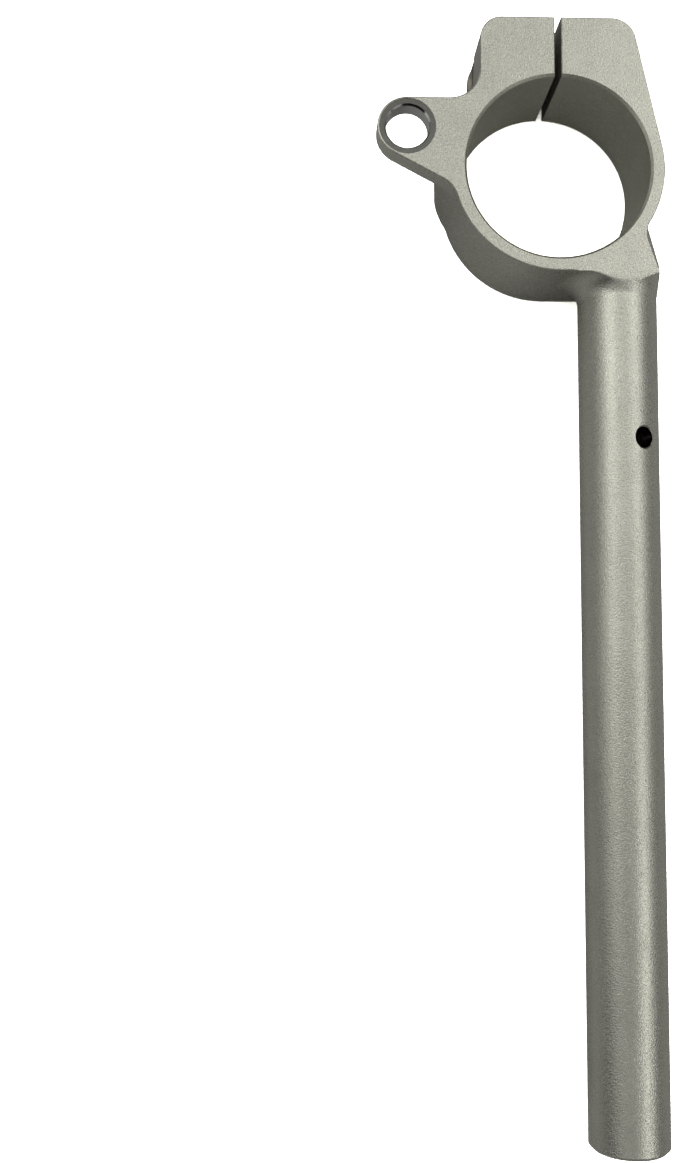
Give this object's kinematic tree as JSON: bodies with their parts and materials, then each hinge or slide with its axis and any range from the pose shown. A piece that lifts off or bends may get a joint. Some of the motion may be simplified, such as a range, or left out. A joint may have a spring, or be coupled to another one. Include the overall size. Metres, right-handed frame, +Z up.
{
  "type": "clip-on handlebar",
  "caption": "Forged motorcycle clip-on handlebar: a split fork clamp with pinch ears and a drilled lug, in one piece with a straight tubular grip bar.",
  "frame": {"origin": "on the fork bore axis, level with the machined top face of the clamp", "axes": "+Z up out of the top face along the fork bore, +Y towards the pinch ears, the grip bar runs along -Y"},
  "size_m": [0.081, 0.3121, 0.03],
  "materials": {
    "forging": "satin"
  },
  "bodies": {
    "root": {"clip_on_bar": "forging"}
  },
  "joints": []
}
